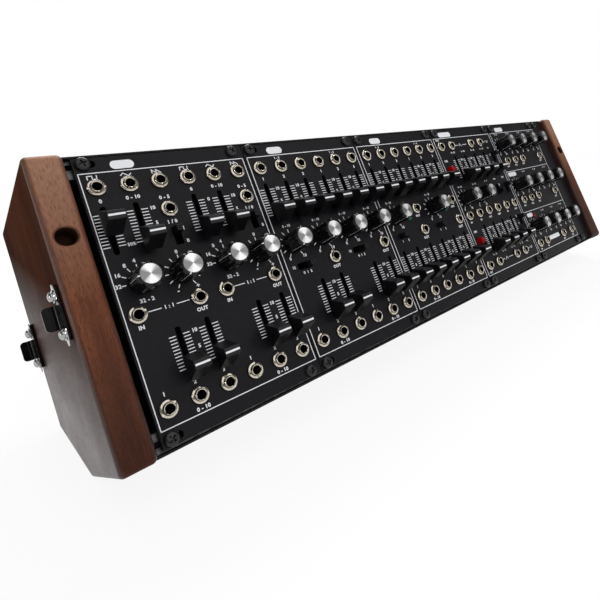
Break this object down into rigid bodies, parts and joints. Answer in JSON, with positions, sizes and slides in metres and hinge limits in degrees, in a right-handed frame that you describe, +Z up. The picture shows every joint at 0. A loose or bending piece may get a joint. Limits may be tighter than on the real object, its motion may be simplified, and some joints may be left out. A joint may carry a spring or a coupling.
{
  "type": "modular synthesizer",
  "caption": "Desktop modular synthesizer: control modules with sliders, knobs, switches and jacks side by side in a black steel case with walnut ends, leaning back on its lower rear bevel.",
  "frame": {"origin": "middle of the flat lower rear bevel the case stands on", "axes": "+X to the right along the case, +Z up, the panels face -Y and lean back 30 degrees"},
  "size_m": [0.4649, 0.147, 0.1393],
  "materials": {
    "walnut": "satin oiled walnut with a fine lengthwise grain",
    "case_black": "black powder coat with a fine texture",
    "catch_black": "satin black coated steel",
    "panel_charcoal": "charcoal satin powder coat with fine white printing",
    "rail_anodised": "dark anodised extrusion",
    "control_black": "moulded black plastic, satin",
    "board_green": "green solder-masked glass-fibre board",
    "button_red": "translucent red plastic, glossy",
    "nickel": "nickel plate, bright",
    "knob_cap": "radially turned bright aluminium",
    "print_white": "white screen print and pointer lines",
    "lamp_green": "tinted green lamp lens",
    "lamp_red": "tinted red lamp lens"
  },
  "bodies": {
    "case": {"case_shell": "case_black", "left_end_panel": "walnut", "right_end_panel": "walnut", "top_rail": "rail_anodised", "bottom_rail": "rail_anodised", "oscillator_faceplate": "panel_charcoal", "filter_faceplate": "panel_charcoal", "amplifier_faceplate": "panel_charcoal", "envelope_faceplate": "panel_charcoal", "effects_faceplate": "panel_charcoal", "oscillator_board": "board_green", "filter_board": "board_green", "amplifier_board": "board_green", "envelope_board": "board_green", "effects_board": "board_green", "blank_panel": "panel_charcoal", "power_board": "board_green", "power_inlet": "control_black", "front_side_catch": "catch_black", "rear_side_catch": "catch_black"},
    "oscillator_slider_1": {"oscillator_slider_1": "control_black"},
    "oscillator_slider_2": {"oscillator_slider_2": "control_black"},
    "oscillator_slider_3": {"oscillator_slider_3": "control_black"},
    "oscillator_slider_4": {"oscillator_slider_4": "control_black"},
    "oscillator_slider_5": {"oscillator_slider_5": "control_black"},
    "oscillator_slider_6": {"oscillator_slider_6": "control_black"},
    "oscillator_slider_7": {"oscillator_slider_7": "control_black"},
    "oscillator_slider_8": {"oscillator_slider_8": "control_black"},
    "oscillator_knob_1": {"oscillator_knob_1": "control_black"},
    "oscillator_knob_2": {"oscillator_knob_2": "control_black"},
    "oscillator_knob_3": {"oscillator_knob_3": "control_black"},
    "oscillator_knob_4": {"oscillator_knob_4": "control_black"},
    "oscillator_switch_1": {"oscillator_switch_1": "control_black"},
    "oscillator_switch_2": {"oscillator_switch_2": "control_black"},
    "filter_slider_7": {"filter_slider_7": "control_black"},
    "filter_slider_8": {"filter_slider_8": "control_black"},
    "filter_slider_9": {"filter_slider_9": "control_black"},
    "filter_slider_10": {"filter_slider_10": "control_black"},
    "filter_knob_1": {"filter_knob_1": "control_black"},
    "filter_knob_2": {"filter_knob_2": "control_black"},
    "filter_knob_3": {"filter_knob_3": "control_black"},
    "filter_knob_4": {"filter_knob_4": "control_black"},
    "filter_switch_1": {"filter_switch_1": "control_black"},
    "filter_switch_2": {"filter_switch_2": "control_black"},
    "amplifier_knob_1": {"amplifier_knob_1": "control_black"},
    "amplifier_knob_2": {"amplifier_knob_2": "control_black"},
    "amplifier_switch_1": {"amplifier_switch_1": "control_black"},
    "amplifier_switch_2": {"amplifier_switch_2": "control_black"},
    "envelope_knob_1": {"envelope_knob_1": "control_black"},
    "envelope_knob_2": {"envelope_knob_2": "control_black"},
    "envelope_switch_1": {"envelope_switch_1": "control_black"},
    "envelope_switch_3": {"envelope_switch_3": "control_black"},
    "envelope_switch_4": {"envelope_switch_4": "control_black"},
    "envelope_button_1": {"envelope_button_1": "button_red"},
    "envelope_button_2": {"envelope_button_2": "button_red"},
    "effects_knob_1": {"effects_knob_1": "control_black"},
    "effects_knob_2": {"effects_knob_2": "control_black"},
    "effects_knob_3": {"effects_knob_3": "control_black"},
    "effects_knob_4": {"effects_knob_4": "control_black"},
    "power_rocker": {"power_rocker": "control_black"}
  },
  "joints": [
    {"name": "oscillator_slider_1_slide", "type": "slide", "parent": "case", "child": "oscillator_slider_1", "axis": [0, 0.5, 0.866], "range_m": [-0.0096, 0.0054]},
    {"name": "oscillator_slider_2_slide", "type": "slide", "parent": "case", "child": "oscillator_slider_2", "axis": [0, 0.5, 0.866], "range_m": [0, 0.015]},
    {"name": "oscillator_slider_3_slide", "type": "slide", "parent": "case", "child": "oscillator_slider_3", "axis": [0, 0.5, 0.866], "range_m": [0, 0.015]},
    {"name": "oscillator_slider_4_slide", "type": "slide", "parent": "case", "child": "oscillator_slider_4", "axis": [0, 0.5, 0.866], "range_m": [0, 0.015]},
    {"name": "oscillator_slider_5_slide", "type": "slide", "parent": "case", "child": "oscillator_slider_5", "axis": [0, 0.5, 0.866], "range_m": [0, 0.015]},
    {"name": "oscillator_slider_6_slide", "type": "slide", "parent": "case", "child": "oscillator_slider_6", "axis": [0, 0.5, 0.866], "range_m": [0, 0.015]},
    {"name": "oscillator_slider_7_slide", "type": "slide", "parent": "case", "child": "oscillator_slider_7", "axis": [0, 0.5, 0.866], "range_m": [0, 0.015]},
    {"name": "oscillator_slider_8_slide", "type": "slide", "parent": "case", "child": "oscillator_slider_8", "axis": [0, 0.5, 0.866], "range_m": [0, 0.015]},
    {"name": "oscillator_knob_1_turn", "type": "hinge", "parent": "case", "child": "oscillator_knob_1", "pos_m": [-0.19971, -0.02972, 0.08532], "axis": [0, -0.866, 0.5], "range_deg": [-150, 0]},
    {"name": "oscillator_knob_2_turn", "type": "hinge", "parent": "case", "child": "oscillator_knob_2", "pos_m": [-0.18171, -0.02972, 0.08532], "axis": [0, -0.866, 0.5], "range_deg": [-300, 0]},
    {"name": "oscillator_knob_3_turn", "type": "hinge", "parent": "case", "child": "oscillator_knob_3", "pos_m": [-0.15921, -0.02972, 0.08532], "axis": [0, -0.866, 0.5], "range_deg": [-150, 0]},
    {"name": "oscillator_knob_4_turn", "type": "hinge", "parent": "case", "child": "oscillator_knob_4", "pos_m": [-0.14121, -0.02972, 0.08532], "axis": [0, -0.866, 0.5], "range_deg": [-227.4, 72.6]},
    {"name": "oscillator_switch_1_throw", "type": "slide", "parent": "case", "child": "oscillator_switch_1", "axis": [0, 0.5, 0.866], "range_m": [-0.0044, 0]},
    {"name": "oscillator_switch_2_throw", "type": "slide", "parent": "case", "child": "oscillator_switch_2", "axis": [0, 0.5, 0.866], "range_m": [-0.0044, 0]},
    {"name": "filter_slider_7_slide", "type": "slide", "parent": "case", "child": "filter_slider_7", "axis": [0, 0.5, 0.866], "range_m": [0, 0.015]},
    {"name": "filter_slider_8_slide", "type": "slide", "parent": "case", "child": "filter_slider_8", "axis": [0, 0.5, 0.866], "range_m": [0, 0.015]},
    {"name": "filter_slider_9_slide", "type": "slide", "parent": "case", "child": "filter_slider_9", "axis": [0, 0.5, 0.866], "range_m": [0, 0.015]},
    {"name": "filter_slider_10_slide", "type": "slide", "parent": "case", "child": "filter_slider_10", "axis": [0, 0.5, 0.866], "range_m": [0, 0.015]},
    {"name": "filter_knob_1_turn", "type": "hinge", "parent": "case", "child": "filter_knob_1", "pos_m": [-0.12083, -0.02972, 0.08532], "axis": [0, -0.866, 0.5], "range_deg": [-300, 0]},
    {"name": "filter_knob_2_turn", "type": "hinge", "parent": "case", "child": "filter_knob_2", "pos_m": [-0.10058, -0.02972, 0.08532], "axis": [0, -0.866, 0.5], "range_deg": [-300, 0]},
    {"name": "filter_knob_3_turn", "type": "hinge", "parent": "case", "child": "filter_knob_3", "pos_m": [-0.08033, -0.02972, 0.08532], "axis": [0, -0.866, 0.5], "range_deg": [-300, 0]},
    {"name": "filter_knob_4_turn", "type": "hinge", "parent": "case", "child": "filter_knob_4", "pos_m": [-0.06008, -0.02972, 0.08532], "axis": [0, -0.866, 0.5], "range_deg": [-300, 0]},
    {"name": "filter_switch_1_throw", "type": "slide", "parent": "case", "child": "filter_switch_1", "axis": [1, 0, 0], "range_m": [-0.0044, 0]},
    {"name": "filter_switch_2_throw", "type": "slide", "parent": "case", "child": "filter_switch_2", "axis": [1, 0, 0], "range_m": [-0.0044, 0]},
    {"name": "amplifier_knob_1_turn", "type": "hinge", "parent": "case", "child": "amplifier_knob_1", "pos_m": [-0.03955, -0.02972, 0.08532], "axis": [0, -0.866, 0.5], "range_deg": [-300, 0]},
    {"name": "amplifier_knob_2_turn", "type": "hinge", "parent": "case", "child": "amplifier_knob_2", "pos_m": [0.00095, -0.02972, 0.08532], "axis": [0, -0.866, 0.5], "range_deg": [-300, 0]},
    {"name": "amplifier_switch_1_throw", "type": "slide", "parent": "case", "child": "amplifier_switch_1", "axis": [1, 0, 0], "range_m": [0, 0.0044]},
    {"name": "amplifier_switch_2_throw", "type": "slide", "parent": "case", "child": "amplifier_switch_2", "axis": [1, 0, 0], "range_m": [0, 0.0044]},
    {"name": "envelope_knob_1_turn", "type": "hinge", "parent": "case", "child": "envelope_knob_1", "pos_m": [0.04173, -0.02972, 0.08532], "axis": [0, -0.866, 0.5], "range_deg": [-300, 0]},
    {"name": "envelope_knob_2_turn", "type": "hinge", "parent": "case", "child": "envelope_knob_2", "pos_m": [0.06198, -0.02972, 0.08532], "axis": [0, -0.866, 0.5], "range_deg": [-300, 0]},
    {"name": "envelope_switch_1_throw", "type": "slide", "parent": "case", "child": "envelope_switch_1", "axis": [0, 0.5, 0.866], "range_m": [-0.0044, 0]},
    {"name": "envelope_switch_3_throw", "type": "slide", "parent": "case", "child": "envelope_switch_3", "axis": [0, 0.5, 0.866], "range_m": [-0.0044, 0]},
    {"name": "envelope_switch_4_throw", "type": "slide", "parent": "case", "child": "envelope_switch_4", "axis": [0, 0.5, 0.866], "range_m": [-0.0044, 0]},
    {"name": "envelope_button_1_press", "type": "slide", "parent": "case", "child": "envelope_button_1", "axis": [0, 0.866, -0.5], "range_m": [0, 0.0012], "stiffness_N_per_m": 300},
    {"name": "envelope_button_2_press", "type": "slide", "parent": "case", "child": "envelope_button_2", "axis": [0, 0.866, -0.5], "range_m": [0, 0.0012], "stiffness_N_per_m": 300},
    {"name": "effects_knob_1_turn", "type": "hinge", "parent": "case", "child": "effects_knob_1", "pos_m": [0.12301, -0.01012, 0.11927], "axis": [0, -0.866, 0.5], "range_deg": [-300, 0]},
    {"name": "effects_knob_2_turn", "type": "hinge", "parent": "case", "child": "effects_knob_2", "pos_m": [0.14326, -0.01012, 0.11927], "axis": [0, -0.866, 0.5], "range_deg": [-300, 0]},
    {"name": "effects_knob_3_turn", "type": "hinge", "parent": "case", "child": "effects_knob_3", "pos_m": [0.16351, -0.01012, 0.11927], "axis": [0, -0.866, 0.5], "range_deg": [-300, 0]},
    {"name": "effects_knob_4_turn", "type": "hinge", "parent": "case", "child": "effects_knob_4", "pos_m": [0.18376, -0.01012, 0.11927], "axis": [0, -0.866, 0.5], "range_deg": [-300, 0]},
    {"name": "power_rocker_tilt", "type": "hinge", "parent": "case", "child": "power_rocker", "pos_m": [0.14799, 0.03378, 0.0221], "axis": [1, 0, 0], "range_deg": [-16.36, 0]}
  ]
}
